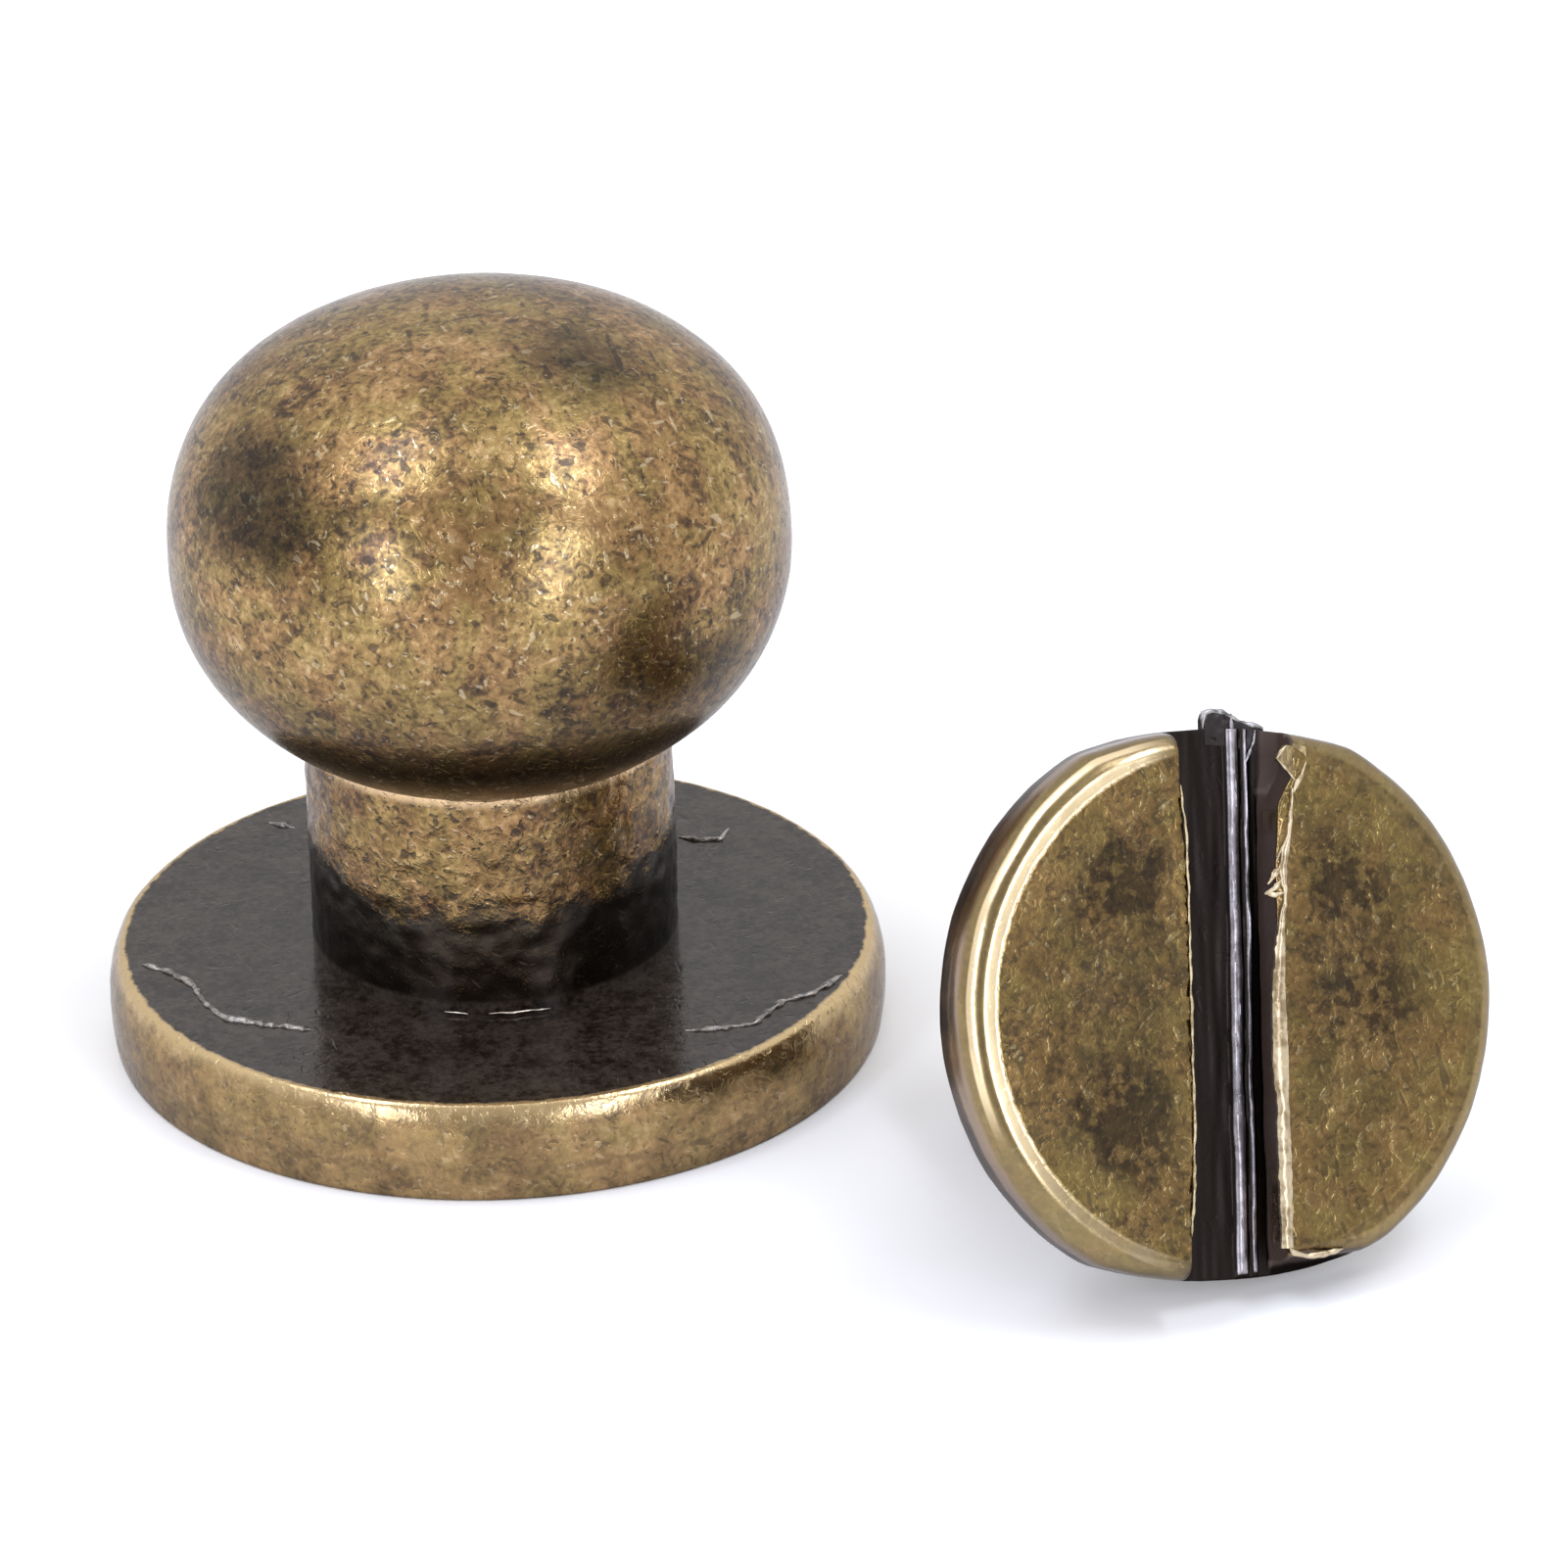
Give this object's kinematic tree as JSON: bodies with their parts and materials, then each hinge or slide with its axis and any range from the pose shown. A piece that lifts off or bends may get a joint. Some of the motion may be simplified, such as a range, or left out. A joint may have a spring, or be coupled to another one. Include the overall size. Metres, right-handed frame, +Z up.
{
  "type": "monk rivet",
  "caption": "Ball-headed leather stud with a round flange and a narrow neck, beside the slotted screw that holds it from behind.",
  "frame": {"origin": "centre of the stud's base, at the mouth of its screw hole", "axes": "+Z up the stud's axis through its ball; the screw lies at +X and in front at -Y"},
  "size_m": [0.0174, 0.014, 0.0099],
  "materials": {
    "antique_brass": "worn antique plating, darkened in its corners",
    "antique_brass_screw": "worn antique plating, with a blackened slot"
  },
  "bodies": {
    "root": {"stud": "antique_brass", "screw": "antique_brass_screw"}
  },
  "joints": []
}
